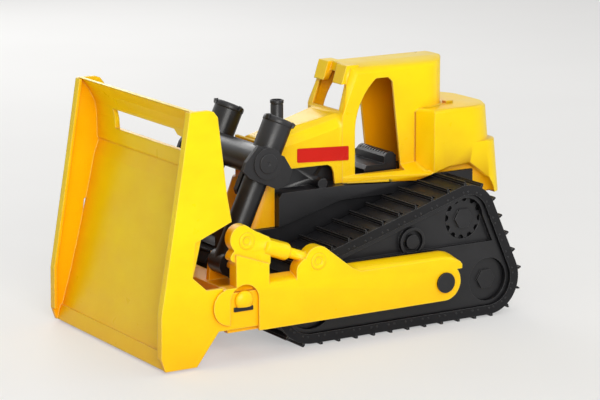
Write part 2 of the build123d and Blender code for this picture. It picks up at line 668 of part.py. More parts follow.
def seat():
    """Low seat whose back is ribbed across the top."""
    front = SEAT_BACK_X + SEAT_BACK_THICKNESS / 2
    rear = SEAT_BACK_X - SEAT_BACK_THICKNESS / 2
    floor = DECK_TOP_Z
    outline = [
        (rear, floor), (front + SEAT_CUSHION_LENGTH, floor),
        (front + SEAT_CUSHION_LENGTH, floor + SEAT_CUSHION_HEIGHT - 3),
        (front + SEAT_CUSHION_LENGTH - 3, floor + SEAT_CUSHION_HEIGHT),
        (front, floor + SEAT_CUSHION_HEIGHT), (front, SEAT_BACK_TOP_Z - 4),
        (front - 3, SEAT_BACK_TOP_Z - 1), (SEAT_BACK_X, SEAT_BACK_TOP_Z),
        (rear + 3, SEAT_BACK_TOP_Z - 1), (rear, SEAT_BACK_TOP_Z - 4),
    ]
    body = prism(outline, -SEAT_HALF_WIDTH, SEAT_HALF_WIDTH)
    count = int(2 * SEAT_HALF_WIDTH / SEAT_RIB_PITCH)
    for index in range(1, count):
        y = -SEAT_HALF_WIDTH + index * 2 * SEAT_HALF_WIDTH / count
        body -= block(rear - 1, front + 1, y - SEAT_RIB_PITCH / 5, y + SEAT_RIB_PITCH / 5,
                      SEAT_BACK_TOP_Z - 1 - SEAT_RIB_DEPTH, SEAT_BACK_TOP_Z + 1)
    return body


# Lift yoke.  Positions along a cylinder are measured down its axis from the point
# nearest to the yoke's pivot.

LEAN = radians(CYLINDER_LEAN)
AXIS_X = YOKE_X - CYLINDER_SET_BACK * cos(LEAN)
AXIS_Z = YOKE_Z - CYLINDER_SET_BACK * sin(LEAN)


def on_axis(s, t=0.0):
    """Point s down the cylinder's axis and t in front of it."""
    return AXIS_X + s * sin(LEAN) + t * cos(LEAN), AXIS_Z - s * cos(LEAN) + t * sin(LEAN)


def axis_frame(s, y=CYLINDER_Y):
    x, z = on_axis(s)
    return Pos(x, y, z) * Rot(0, -CYLINDER_LEAN, 0)


def along_axis(radius, s_low, s_high, y=CYLINDER_Y):
    return axis_frame((s_low + s_high) / 2, y) * Cylinder(radius, s_high - s_low)


def yoke_plate():
    reach = YOKE_RING_RADIUS
    back = CYLINDER_SET_BACK
    points = [
        on_axis(-0.8 * reach, back + 1.1 * reach), on_axis(0.45 * reach, back + 1.5 * reach),
        on_axis(1.05 * reach, back + 1.48 * reach), on_axis(1.27 * reach, back + 0.8 * reach),
        on_axis(1.27 * reach, back - 1.35 * reach), on_axis(0.6 * reach, back - 1.95 * reach),
        on_axis(-0.2 * reach, back - 1.85 * reach), on_axis(-0.8 * reach, back - 0.95 * reach),
    ]
    return prism(points, YOKE_PLATE_Y, YOKE_PLATE_Y + YOKE_PLATE_THICKNESS)


def yoke_tongue():
    """Tab that hangs from the cross tube beside each cylinder."""
    reach = TONGUE_LENGTH + TONGUE_RADIUS
    corner = TONGUE_RADIUS / 2
    sides = [on_axis(0, TONGUE_RADIUS), on_axis(reach - corner, TONGUE_RADIUS),
             on_axis(reach, corner), on_axis(reach, -corner),
             on_axis(reach - corner, -TONGUE_RADIUS), on_axis(0, -TONGUE_RADIUS)]
    return prism(sides, TONGUE_Y, TONGUE_Y + TONGUE_THICKNESS)


def lift_yoke():
    outer = YOKE_PLATE_Y + YOKE_PLATE_THICKNESS
    half = rod_y(YOKE_X, YOKE_Z, YOKE_TUBE_RADIUS, 0, YOKE_PLATE_Y)
    half += along_axis(CYLINDER_RADIUS, BARREL_TOP, BARREL_BOTTOM)
    half += yoke_plate()
    half += rod_y(YOKE_X, YOKE_Z, YOKE_RING_RADIUS, outer - 0.5, outer + YOKE_RING_HEIGHT)
    half += yoke_tongue()
    half -= along_axis(ROD_RADIUS + SLIDE_GAP, BARREL_TOP + WALL, BARREL_BOTTOM + 20)
    yoke = both_sides(half)
    inner = KNUCKLE_HALF_WIDTH + SEAT_GAP
    clear = KNUCKLE_RADIUS + KNUCKLE_GAP
    yoke -= rod_y(YOKE_X, YOKE_Z, clear, -inner, inner)
    yoke -= block(YOKE_X - 2 * YOKE_TUBE_RADIUS, YOKE_X, -inner, inner, YOKE_Z - clear,
                  YOKE_Z + clear)
    yoke -= rod_y(YOKE_X, YOKE_Z, YOKE_PIN_RADIUS + PIN_GAP,
                  -YOKE_PIN_HALF_LENGTH - SEAT_GAP, YOKE_PIN_HALF_LENGTH + SEAT_GAP)
    return yoke


def knuckle():
    arm = block(BACK_FRONT_X, YOKE_X, -KNUCKLE_HALF_WIDTH, KNUCKLE_HALF_WIDTH,
                YOKE_Z - KNUCKLE_NECK, YOKE_Z + KNUCKLE_NECK)
    arm += rod_y(YOKE_X, YOKE_Z, KNUCKLE_RADIUS, -KNUCKLE_HALF_WIDTH, KNUCKLE_HALF_WIDTH)
    return arm - rod_y(YOKE_X, YOKE_Z, YOKE_PIN_RADIUS + PIN_GAP, -FAR, FAR)


def yoke_pin():
    return rod_y(YOKE_X, YOKE_Z, YOKE_PIN_RADIUS, -YOKE_PIN_HALF_LENGTH, YOKE_PIN_HALF_LENGTH)


def lift_rod():
    end_x, end_z = on_axis(ROD_EYE)
    rod = along_axis(ROD_RADIUS, ROD_TOP, ROD_EYE)
    rod += rod_y(end_x, end_z, ROD_RADIUS, CYLINDER_Y - ROD_RADIUS, CYLINDER_Y + ROD_RADIUS)
    rod -= rod_y(end_x, end_z, EYE_PIN_RADIUS + EYE_GAP, CYLINDER_Y - 2 * ROD_RADIUS,
                 CYLINDER_Y + 2 * ROD_RADIUS)
    return rod


# Blade and push frame

def board_front():
    """Front line of the board from the lip down to the cutting edge."""
    x = BLADE_FRONT_X
    top = BLADE_TOP_Z
    return [
        (x - 29.0, top), (x - 31.0, top - 1.5), (x - 29.0 - BLADE_LIP_REACH * 0.65, top - 11.0),
        (x - 29.0 - BLADE_LIP_REACH, top - 21.0), (x - 45.0, SLOT_TOP_Z - 8.0),
        (x - 45.0, SLOT_BOTTOM_Z - 12.0), (x - 46.6, SLOT_BOTTOM_Z - 14.0),
    ] + [(x - back, BLADE_BOTTOM_Z + share * (SLOT_BOTTOM_Z - 14.0 - BLADE_BOTTOM_Z))
         for back, share in BOARD_CURVE]


def board_back(gap=0.0):
    """Back line of the board, smooth behind the step in its front."""
    set_back = BLADE_BOARD * 1.25 + gap
    return [(x - set_back, z) for x, z in board_front() if abs(x - BLADE_FRONT_X + 46.6) > 0.1]


def side_outline():
    x = BLADE_FRONT_X
    notch_x = ARM_NOSE_X + 5.5
    top = BLADE_TOP_Z
    nose_top = ARM_NOSE_Z + ARM_NOSE_RADIUS + SEAT_GAP * 2
    return [
        (x - 27.5, top - 0.6), (x - 29.5, top), (x - 44.0, top), (x - 48.5, top - 1.5),
        (x - 52.0, top - 6.0), (x - 60.0, NOTCH_TOP_Z + 20.0), (x - 63.7, NOTCH_TOP_Z),
        (x - 31.5, NOTCH_TOP_Z - 13.0), (x - 28.5, nose_top + 11.4), (x - 41.0, nose_top),
        (notch_x, nose_top), (notch_x, TONGUE_PLATE_TOP_Z),
        (ARM_SLOT_REAR_X + 1, TONGUE_PLATE_TOP_Z), (ARM_SLOT_REAR_X + 1, TONGUE_PLATE_BOTTOM_Z + 4),
        (ARM_SLOT_REAR_X + 5, TONGUE_PLATE_BOTTOM_Z), (x - 51.5, TONGUE_PLATE_BOTTOM_Z),
        (x - 31.5, BLADE_BOTTOM_Z), (x - 3.5, BLADE_BOTTOM_Z), (x, BLADE_BOTTOM_Z + 10),
        (x - 0.5, 46.5), (x - 16.5, 138.5),
    ]


def side_plate():
    """Outer plate with a flange along its front edge and a tongue for the arm's fork."""
    outer = BLADE_HALF_WIDTH
    plate = prism(side_outline(), outer - BLADE_PLATE, outer)
    front = side_outline()[-3:] + side_outline()[:1]
    back = [(x - BLADE_RIM_THICKNESS, z) for x, z in reversed(front)]
    flange = prism(front + back, outer - BLADE_RIM_WIDTH, outer)
    plate += flange
    return plate - rod_y(BALL_X, BALL_Z, BALL_PIN_RADIUS + PIN_GAP, outer - BLADE_PLATE - 1,
                         outer + 1)


def slot_cut():
    """Sight slot across the blade; a small gusset lowers its upper edge at the left end."""
    end = SLOT_HALF_LENGTH
    top = SLOT_TOP_Z
    step = end - SLOT_STEP_LENGTH
    outline = [
        (-end, top), (step - 4, top), (step, top - SLOT_STEP_DROP + 1),
        (end, top - SLOT_STEP_DROP - 1), (end, SLOT_BOTTOM_Z), (-end + 2, SLOT_BOTTOM_Z),
    ]
    return prism_x(outline, BLADE_FRONT_X - 80, BLADE_FRONT_X)


def blade():
    """Curved board between two side plates, with a cutting edge and ribs on its back."""
    inner = BLADE_HALF_WIDTH - BLADE_PLATE
    board = prism(board_front() + list(reversed(board_back())), -inner - 0.5, inner + 0.5)
    edge = prism([(x + EDGE_THICKNESS, z) for x, z in board_front()[-2:]]
                 + [(x - 1, z) for x, z in reversed(board_front()[-2:])], -inner, inner)
    edge &= block(0, FAR, -FAR, FAR, 0, BLADE_BOTTOM_Z + EDGE_HEIGHT)
    rib_line = board_back(-0.5)[5:-2]
    rib = prism(rib_line + [(x - BACK_RIB_DEPTH, z) for x, z in reversed(rib_line[1:-1])],
                BACK_RIB_Y, BACK_RIB_Y + BACK_RIB_THICKNESS)
    return board + edge + both_sides(rib) - slot_cut() + both_sides(side_plate())


def ball_pin():
    """Round-headed pin that holds the side plate's tongue in the arm's fork."""
    outer = BLADE_HALF_WIDTH
    radius = BALL_RADIUS
    line = [(0, 0), (radius, 0), (radius, 1.0), (radius * 0.5, BALL_HEIGHT), (0, BALL_HEIGHT)]
    face = make_face(Polyline(*[(r, outer + h, 0) for r, h in line], close=True))
    dome = Pos(BALL_X, 0, BALL_Z) * revolve(face, axis=Axis.Y)
    return dome + rod_y(BALL_X, BALL_Z, BALL_PIN_RADIUS, ARM_INNER_Y, outer + 0.5)


def brace():
    """Moulded tilt cylinder between the arm's two ears: thick barrel, thin rod."""
    slope = atan2(EAR_FRONT_Z - EAR_REAR_Z, EAR_FRONT_X - EAR_REAR_X)
    start_x = TOWER_REAR_X + 3.0
    start_z = EAR_FRONT_Z - (EAR_FRONT_X - start_x) * sin(slope) / cos(slope)
    run = (start_x - EAR_REAR_X) / cos(slope)
    middle_y = (ARM_INNER_Y + ARM_OUTER_Y - EAR_SETBACK / 2) / 2
    start = Pos(start_x, middle_y, start_z) * Rot(0, -degrees(slope), 0) * Rot(0, -90, 0)
    thick = start * Pos(0, 0, BRACE_BARREL_LENGTH / 2) * Cylinder(
        BRACE_BARREL_RADIUS, BRACE_BARREL_LENGTH)
    return thick + start * Pos(0, 0, run / 2) * Cylinder(BRACE_ROD_RADIUS, run)


def push_arm():
    low = ARM_INNER_Y
    high = ARM_OUTER_Y
    ear_high = high - EAR_SETBACK
    radius = (ARM_TOP_Z - ARM_BOTTOM_Z) / 2
    arm = block(TRUNNION_X, ARM_NOSE_X, low, high, ARM_BOTTOM_Z, ARM_TOP_Z)
    arm += rod_y(TRUNNION_X, TRUNNION_Z, radius, low, high)
    arm += rod_y(ARM_NOSE_X, ARM_NOSE_Z, ARM_NOSE_RADIUS, low, high)
    arm += prism([(TOWER_REAR_X, ARM_TOP_Z - 5), (TOWER_FRONT_X, ARM_TOP_Z - 5),
                  (TOWER_FRONT_X, TOWER_FRONT_Z), (TOWER_REAR_X, TOWER_REAR_Z)], low, high)
    arm += prism([(TOWER_REAR_X, TOWER_REAR_Z - 3), (TOWER_FRONT_X, TOWER_FRONT_Z - 3),
                  (EAR_NOSE_X + EAR_NOSE_RADIUS, EAR_NOSE_Z),
                  (EAR_NOSE_X, EAR_NOSE_Z + EAR_NOSE_RADIUS * 0.9),
                  (EAR_NOSE_X - EAR_NOSE_RADIUS * 0.34, EAR_NOSE_Z + EAR_NOSE_RADIUS * 0.94),
                  (TOWER_REAR_X, EAR_FRONT_Z + 1)], low, ear_high)
    arm += rod_y(EAR_NOSE_X, EAR_NOSE_Z, EAR_NOSE_RADIUS, low, ear_high)
    arm += prism([(TOWER_FRONT_X - 1, TOWER_FRONT_Z - 2), (TOWER_FRONT_X + EAR_NUB - 1,
                                                            TOWER_FRONT_Z - 1),
                  (TOWER_FRONT_X + EAR_NUB, TOWER_FRONT_Z + 2),
                  (TOWER_FRONT_X + EAR_NUB - 1, TOWER_FRONT_Z + 5),
                  (TOWER_FRONT_X - 1, TOWER_FRONT_Z + 6)], low, ear_high)
    arm += rod_y(EAR_REAR_X, EAR_REAR_Z, EAR_REAR_RADIUS, low, high)
    arm += prism([(EAR_FOOT_REAR_X, ARM_TOP_Z - 4), (EAR_FOOT_REAR_X, ARM_TOP_Z - 3),
                  (EAR_REAR_X + 5, EAR_REAR_Z + EAR_REAR_RADIUS - 1),
                  (EAR_FOOT_FRONT_X, EAR_REAR_Z - 3), (EAR_FOOT_FRONT_X, ARM_TOP_Z - 4)],
                 low, high)
    arm += brace()
    for x, z, face_y in ((EAR_FRONT_X, EAR_FRONT_Z, ear_high), (EAR_REAR_X, EAR_REAR_Z, high)):
        arm += rod_y(x, z, EAR_BOSS_RADIUS, face_y - 1, face_y + EAR_BOSS_HEIGHT)
    slot_low = BLADE_HALF_WIDTH - BLADE_PLATE - SEAT_GAP
    slot_high = BLADE_HALF_WIDTH + SEAT_GAP
    arm -= block(ARM_SLOT_REAR_X, FAR, slot_low, slot_high, 0, TONGUE_PLATE_TOP_Z + SEAT_GAP)
    arm -= block(ARM_NOSE_X + 5.0, FAR, slot_low, slot_high, 0,
                 ARM_NOSE_Z + ARM_NOSE_RADIUS + 1)
    arm -= rod_y(BALL_X, BALL_Z, BALL_RECESS_RADIUS, slot_low + 1, high + 1)
    arm -= block(BALL_X - BALL_RECESS_RADIUS, BALL_X + BALL_RECESS_RADIUS, slot_low + 1,
                 high + 1, 0, BALL_Z)
    arm -= rod_y(BALL_X, BALL_Z, BALL_PIN_RADIUS + PIN_GAP, low - 1, high + 1)
    return arm - rod_y(TRUNNION_X, TRUNNION_Z, TRUNNION_RADIUS + PIN_GAP, low - 1, high + 1)


def push_beam():
    """Beam between the arms with a lug for each lift rod and two ribs to the blade."""
    end_y = ARM_INNER_Y - SEAT_GAP
    beam = block(BEAM_REAR_X, BEAM_FRONT_X, -end_y, end_y, BEAM_BOTTOM_Z, BEAM_TOP_Z)
    eye_x, eye_z = on_axis(ROD_EYE)
    lug_high = CYLINDER_Y - ROD_RADIUS - SEAT_GAP
    reach = LUG_HALF_LENGTH
    lug = prism([(eye_x - reach - 1, BEAM_TOP_Z - 2), (eye_x + reach + 1, BEAM_TOP_Z - 2),
                 (eye_x + reach - 1, eye_z), (eye_x + reach / 2, eye_z + reach - 1),
                 (eye_x - reach / 2, eye_z + reach - 1), (eye_x - reach + 1, eye_z)],
                lug_high - LUG_THICKNESS, lug_high)
    lug += rod_y(eye_x, eye_z, EYE_PIN_RADIUS, lug_high - LUG_THICKNESS, CYLINDER_Y + ROD_RADIUS)
    rib = prism([(BEAM_FRONT_X - 1, BEAM_BOTTOM_Z + 4), (FAR, BEAM_BOTTOM_Z + 4),
                 (FAR, BEAM_TOP_Z - 4), (BEAM_FRONT_X - 1, BEAM_TOP_Z - 4)],
                BEAM_RIB_Y, BEAM_RIB_Y + BEAM_RIB_THICKNESS)
    rib -= prism(board_back(SEAT_GAP) + [(FAR, BLADE_BOTTOM_Z), (FAR, BLADE_TOP_Z)], 0, FAR)
    return beam + both_sides(lug + rib)


def main():
    os.makedirs("parts", exist_ok=True)
    pieces = {
        "body_shell": body_shell(),
        "front_guard": front_guard(),
        "chassis": chassis(),
        "seat": seat(),
        "exhaust_stack": exhaust_stack(),
        "yoke_knuckle": knuckle(),
        "yoke_pin": yoke_pin(),
        "lift_yoke": lift_yoke(),
        "blade": blade(),
        "push_beam": push_beam(),
    }
    left = {
        "track": track(),
        "track_frame": track_frame(),
        "front_idler": wheel(0),
        "sprocket": sprocket(),
        "rear_idler": wheel(2),
        "trunnion": trunnion(),
        "lift_rod": lift_rod(),
        "push_arm": push_arm(),
        "ball_pin": ball_pin(),
    }
    for name, piece in left.items():
        pieces[name + "_left"] = piece
        pieces[name + "_right"] = right_of(piece)
    middle_x = (BLADE_FRONT_X + TANK_REAR_X) / 2
    for name, piece in pieces.items():
        piece = Pos(-middle_x, 0, 0) * piece
        export_step(piece, f"parts/{name}.step")
        box = piece.bounding_box()
        print(f"{name:20s} {len(piece.solids())} {box.min.X:8.1f} {box.max.X:8.1f}"
              f" {box.min.Y:8.1f} {box.max.Y:8.1f} {box.min.Z:8.1f} {box.max.Z:8.1f}")


main()
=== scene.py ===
import json
import math

import bmesh
import bpy
from mathutils import Matrix, Vector


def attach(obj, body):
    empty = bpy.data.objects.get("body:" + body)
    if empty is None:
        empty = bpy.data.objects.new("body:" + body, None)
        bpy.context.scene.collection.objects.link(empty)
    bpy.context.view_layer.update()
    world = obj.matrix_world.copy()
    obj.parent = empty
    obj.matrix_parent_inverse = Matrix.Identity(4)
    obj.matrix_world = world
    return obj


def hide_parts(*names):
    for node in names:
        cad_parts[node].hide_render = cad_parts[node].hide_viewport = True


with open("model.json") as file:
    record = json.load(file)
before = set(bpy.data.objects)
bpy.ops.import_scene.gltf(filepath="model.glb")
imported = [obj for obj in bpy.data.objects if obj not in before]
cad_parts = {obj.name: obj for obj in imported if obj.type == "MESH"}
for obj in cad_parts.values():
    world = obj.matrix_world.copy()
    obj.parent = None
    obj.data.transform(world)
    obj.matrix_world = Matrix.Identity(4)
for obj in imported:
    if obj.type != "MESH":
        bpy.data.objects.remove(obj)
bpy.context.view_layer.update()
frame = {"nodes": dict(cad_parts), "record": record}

MM = 0.001


# Materials: moulded plastics with a fine grain and faint flow marks. Their edges are lightened
# as painted highlight and wear, and their hollows are darkened as painted shade.
# Reaches and depths are in metres.

FLOW_SCALE, PATCH_SCALE, WAVE_SCALE, GRAIN_SCALE = 26.0, 55.0, 45.0, 2600.0
SHADE_PAINT_REACH = 0.12
GRAIN_DEPTH = 0.00008
WAVE_DEPTH, WAVE_STRENGTH = 0.0004, 0.15
GLOW_DEPTH, GLOW_RADIUS = 0.002, (1.0, 0.45, 0.05)
PLASTIC_IOR = 1.5


def new_material(name):
    material = bpy.data.materials.new(name)
    material.use_nodes = True
    nodes = material.node_tree.nodes
    return material, nodes, material.node_tree.links, nodes["Principled BSDF"]


def noise(nodes, links, coordinates, scale, detail, stretch=(1, 1, 1)):
    mapping = nodes.new("ShaderNodeMapping")
    mapping.inputs["Scale"].default_value = stretch
    links.new(coordinates, mapping.inputs["Vector"])
    texture = nodes.new("ShaderNodeTexNoise")
    texture.inputs["Scale"].default_value = scale
    texture.inputs["Detail"].default_value = detail
    links.new(mapping.outputs["Vector"], texture.inputs["Vector"])
    return texture.outputs["Fac"]


def ramp(nodes, links, factor, low, high, colour_low, colour_high):
    node = nodes.new("ShaderNodeValToRGB")
    for element, position, colour in zip(node.color_ramp.elements, (low, high),
                                         (colour_low, colour_high)):
        element.position = position
        element.color = (*colour, 1)
    links.new(factor, node.inputs["Fac"])
    return node.outputs["Color"]


def span(nodes, links, factor, low, high, start=0.3, end=0.7):
    """Map start to end on to low to high."""
    node = nodes.new("ShaderNodeMapRange")
    node.inputs["From Min"].default_value = start
    node.inputs["From Max"].default_value = end
    node.inputs["To Min"].default_value = low
    node.inputs["To Max"].default_value = high
    links.new(factor, node.inputs["Value"])
    return node.outputs["Result"]


def blend_colour(nodes, links, factor, first, second):
    node = nodes.new("ShaderNodeMix")
    node.data_type = "RGBA"
    links.new(factor, node.inputs["Factor"])
    links.new(first, node.inputs["A"])
    node.inputs["B"].default_value = (*second, 1)
    return node.outputs["Result"]


def bump(nodes, links, height, strength, depth, normal):
    node = nodes.new("ShaderNodeBump")
    node.inputs["Strength"].default_value = strength
    node.inputs["Distance"].default_value = depth
    links.new(height, node.inputs["Height"])
    links.new(normal, node.inputs["Normal"])
    return node.outputs["Normal"]


def plastic(name, dark, light, sheen_and_wear_colour, painted_shade_colour, gloss, grain, shine, bevel, soft=0.0):
    """Moulded plastic.  Its flow marks run from dark to light.  Its edges take a lighter colour
    over the bevel radius, a painted highlight that also stands for wear, and its hollows take a
    deeper colour as painted shade.  gloss is its range of roughness, and soft is how much
    light scatters inside it."""
    material, nodes, links, shader = new_material(name)
    where = nodes.new("ShaderNodeTexCoord").outputs["Object"]
    flow = noise(nodes, links, where, FLOW_SCALE, 4.0, (1.0, 1.0, 1.6))
    body = ramp(nodes, links, flow, 0.32, 0.68, dark, light)

    # Painted shade: where little light would reach, the colour is darkened toward a deeper tone.
    shade = nodes.new("ShaderNodeAmbientOcclusion")
    shade.samples = 6
    shade.inputs["Distance"].default_value = SHADE_PAINT_REACH
    painted_shade_share = span(nodes, links, shade.outputs["AO"], 1.0, 0.0, 0.2, 0.9)
    body = blend_colour(nodes, links, painted_shade_share, body, painted_shade_colour)

    rounded = nodes.new("ShaderNodeBevel")
    rounded.samples = 4
    rounded.inputs["Radius"].default_value = bevel
    # Painted highlight, and partly wear: the colour is lightened along rounded edges.
    facing = nodes.new("ShaderNodeVectorMath")
    facing.operation = "DOT_PRODUCT"
    links.new(rounded.outputs["Normal"], facing.inputs[0])
    links.new(nodes.new("ShaderNodeNewGeometry").outputs["Normal"], facing.inputs[1])
    sheen_and_wear_share = span(nodes, links, facing.outputs["Value"], 0.6, 0.0, 0.72, 0.96)
    links.new(blend_colour(nodes, links, sheen_and_wear_share, body, sheen_and_wear_colour), shader.inputs["Base Color"])

    patches = noise(nodes, links, where, PATCH_SCALE, 5.0)
    links.new(span(nodes, links, patches, *gloss), shader.inputs["Roughness"])
    fine = bump(nodes, links, noise(nodes, links, where, GRAIN_SCALE, 2.0), grain, GRAIN_DEPTH,
                rounded.outputs["Normal"])
    wave = bump(nodes, links, noise(nodes, links, where, WAVE_SCALE, 1.0), WAVE_STRENGTH,
                WAVE_DEPTH, fine)
    links.new(wave, shader.inputs["Normal"])
    shader.inputs["IOR"].default_value = PLASTIC_IOR
    shader.inputs["Specular IOR Level"].default_value = shine
    shader.inputs["Subsurface Weight"].default_value = soft
    shader.inputs["Subsurface Radius"].default_value = GLOW_RADIUS
    shader.inputs["Subsurface Scale"].default_value = GLOW_DEPTH
    return material


# Each plastic's lighter tone along edges is painted highlight with some wear, and its deeper
# tone in hollows is painted shade.
yellow = plastic("yellow_plastic", dark=(0.96, 0.66, 0.0), light=(1.0, 0.73, 0.0),
                 sheen_and_wear_colour=(1.0, 0.87, 0.22), painted_shade_colour=(0.84, 0.32, 0.0), gloss=(0.27, 0.37),
                 grain=0.2, shine=0.26, bevel=0.0015, soft=0.06)
black = plastic("black_plastic", dark=(0.012, 0.012, 0.0135), light=(0.021, 0.021, 0.0235),
                sheen_and_wear_colour=(0.12, 0.12, 0.125), painted_shade_colour=(0.005, 0.005, 0.006), gloss=(0.28, 0.42),
                grain=0.3, shine=0.34, bevel=0.0006)
tread = plastic("track_plastic", dark=(0.008, 0.008, 0.009), light=(0.015, 0.015, 0.017),
                sheen_and_wear_colour=(0.26, 0.26, 0.265), painted_shade_colour=(0.003, 0.003, 0.004), gloss=(0.46, 0.62),
                grain=0.4, shine=0.2, bevel=0.0006)
red = plastic("red_label", dark=(0.60, 0.010, 0.004), light=(0.70, 0.014, 0.005),
              sheen_and_wear_colour=(0.74, 0.04, 0.02), painted_shade_colour=(0.50, 0.008, 0.003), gloss=(0.24, 0.34),
              grain=0.1, shine=0.2, bevel=0.0002)

finish_of = {"yellow_plastic": yellow, "black_plastic": black, "track_plastic": tread}
slot_of = {row["node"]: row["material_slot"] for row in frame["record"]["subparts"]}
for name, node in frame["nodes"].items():
    node.data.materials.clear()
    node.data.materials.append(finish_of[slot_of[name]])


# Piece builders.  Sizes below are in millimetres and angles in degrees.

MERGE_METRES = 1e-6
FLAT_ANGLE = 0.5
MOULDING_ANGLE = 22
FLAT_WEIGHT = 90


def finish_mesh(mesh, smooth_below=0, flatten=False):
    """Merge doubled corners, turn faces outwards and smooth the edges below an angle."""
    build = bmesh.new()
    build.from_mesh(mesh)
    bmesh.ops.remove_doubles(build, verts=build.verts, dist=MERGE_METRES)
    if flatten:
        bmesh.ops.dissolve_limit(build, angle_limit=math.radians(FLAT_ANGLE),
                                 verts=build.verts, edges=build.edges)
    bmesh.ops.recalc_face_normals(build, faces=build.faces)
    build.to_mesh(mesh)
    build.free()
    if smooth_below:
        mesh.shade_smooth()
        mesh.set_sharp_from_angle(angle=math.radians(smooth_below))


def mesh_of(name, points, faces, smooth_below=0):
    mesh = bpy.data.meshes.new(name)
    mesh.from_pydata([tuple(value * MM for value in point) for point in points], [], faces)
    finish_mesh(mesh, smooth_below)
    return mesh


def cad_mesh(node):
    """Copy of a CAD node's mesh, with doubled corners merged."""
    mesh = frame["nodes"][node].data.copy()
    finish_mesh(mesh)
    return mesh


def linked(name, data):
    holder = bpy.data.objects.new(name, data)
    bpy.context.scene.collection.objects.link(holder)
    return holder


def evaluated(holder):
    """Mesh of a work object with its modifiers applied."""
    graph = bpy.context.evaluated_depsgraph_get()
    result = bpy.data.meshes.new_from_object(holder.evaluated_get(graph))
    bpy.data.objects.remove(holder)
    return result


def combined(base, steps):
    """Mesh after a row of exact booleans, given as (operation, tool mesh)."""
    holder = linked("work", base)
    tools = []
    for operation, tool_mesh in steps:
        tool = linked("tool", tool_mesh)
        modifier = holder.modifiers.new("cut", "BOOLEAN")
        modifier.operation = operation
        modifier.solver = "EXACT"
        modifier.object = tool
        tools.append(tool)
    result = evaluated(holder)
    for tool in tools:
        bpy.data.objects.remove(tool)
    return result


def moulding(mesh):
    """The mesh with smooth shading that keeps its large flat faces flat."""
    finish_mesh(mesh, MOULDING_ANGLE)
    holder = linked("work", mesh)
    modifier = holder.modifiers.new("normals", "WEIGHTED_NORMAL")
    modifier.keep_sharp = True
    modifier.weight = FLAT_WEIGHT
    return evaluated(holder)


def loft_mesh(name, solids, smooth_below=0):
    """One mesh of closed solids, each through its own row of rings with as many points."""
    points, faces = [], []
    for rings in solids:
        size = len(rings[0])
        base = len(points)
        points += [point for ring in rings for point in ring]
        last = len(points) - size
        faces += [tuple(range(base, base + size)), tuple(range(last, last + size))]
        for low in range(base, last, size):
            faces += [(low + i, low + (i + 1) % size, low + size + (i + 1) % size,
                       low + size + i) for i in range(size)]
    return mesh_of(name, points, faces, smooth_below)


def slab_mesh(name, outline, y_low, y_high):
    """(x, z) outline extruded across Y."""
    return loft_mesh(name, [[[(x, y, z) for x, z in outline] for y in (y_low, y_high)]])


def lathe_mesh(name, profile, centre, along, steps=64, smooth_below=40):
    """(radius, height) profile turned about an axis through centre."""
    along = Vector(along).normalized()
    across = along.orthogonal().normalized()
    beside = along.cross(across)
    points, rings, faces = [], [], []
    for radius, height in profile:
        level = Vector(centre) + along * height
        count = steps if radius else 1
        rings.append([len(points) + step % count for step in range(steps)])
        for step in range(count):
            turn = 2 * math.pi * step / steps
            points.append(level + radius * (math.cos(turn) * across + math.sin(turn) * beside))
    for first, second in zip(rings, rings[1:]):
        for step in range(steps):
            after = (step + 1) % steps
            corners = dict.fromkeys((first[step], first[after], second[after], second[step]))
            if len(corners) > 2:
                faces.append(tuple(corners))
    return mesh_of(name, points, faces, smooth_below)


def arc(centre, radius, start, end, steps):
    turns = [math.radians(start + (end - start) * i / steps) for i in range(steps + 1)]
    return [(centre[0] + radius * math.cos(turn), centre[1] + radius * math.sin(turn))
            for turn in turns]


def mirrored(mesh, name):
    """Copy of a mesh for the right-hand side."""
    copy = mesh.copy()
    copy.name = name
    for vertex in copy.vertices:
        vertex.co.y = -vertex.co.y
    copy.flip_normals()
    return copy


def placed(name, mesh, body, slot, material=None):
    """Piece on a body, in the finish of its slot if no other is given."""
    mesh.materials.clear()
    mesh.materials.append(material or finish_of[slot])
    piece = linked(name, mesh)
    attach(piece, body)
    return piece


def both(name, mesh, body, slot, material=None):
    """The piece on the left and its mirror image on the right."""
    right = mirrored(mesh, name + "_right")
    return (placed(name + "_left", mesh, body, slot, material),
            placed(name + "_right", right, body, slot, material))


# Body shell: its hood falls in a straight slope from the windshield to the nose.  The
# shoulders sink most at the top and not at all below SHOULDER_Z.  The roof's lamps, above
# LAMPS_Z, stay where they are.

CAB_FRONT_X, NOSE_X = -27.0, 46.0
HOOD_FALL = 16.5
SHOULDER_Z, CREST_Z = 145.5, 170.2
LAMPS_Z = 180.0
HOOD_CUTS = 18


def clamped(value):
    return min(max(value, 0.0), 1.0)


def hood_fall(x, z):
    return (HOOD_FALL * clamped((x - CAB_FRONT_X) / (NOSE_X - CAB_FRONT_X))
            * clamped((z - SHOULDER_Z) / (CREST_Z - SHOULDER_Z)))


def shell_mesh():
    mesh = cad_mesh("body_shell")
    build = bmesh.new()
    build.from_mesh(mesh)
    for cut in range(1, HOOD_CUTS):
        x = CAB_FRONT_X + (NOSE_X - CAB_FRONT_X) * cut / HOOD_CUTS
        bmesh.ops.bisect_plane(build, geom=build.verts[:] + build.edges[:] + build.faces[:],
                               plane_co=(x * MM, 0, 0), plane_no=(1, 0, 0))
    for vertex in build.verts:
        x, z = vertex.co.x / MM, vertex.co.z / MM
        if x > CAB_FRONT_X and z < LAMPS_Z:
            vertex.co.z -= hood_fall(x, z) * MM
    bmesh.ops.triangulate(build, faces=build.faces)
    build.to_mesh(mesh)
    build.free()
    return moulding(mesh)


shell = placed("shell_moulding", shell_mesh(), "chassis", "yellow_plastic")
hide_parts("body_shell")


# Front guard: its upper edge lies below the sloped hood's nose

GUARD_TOP_Z = 158.4


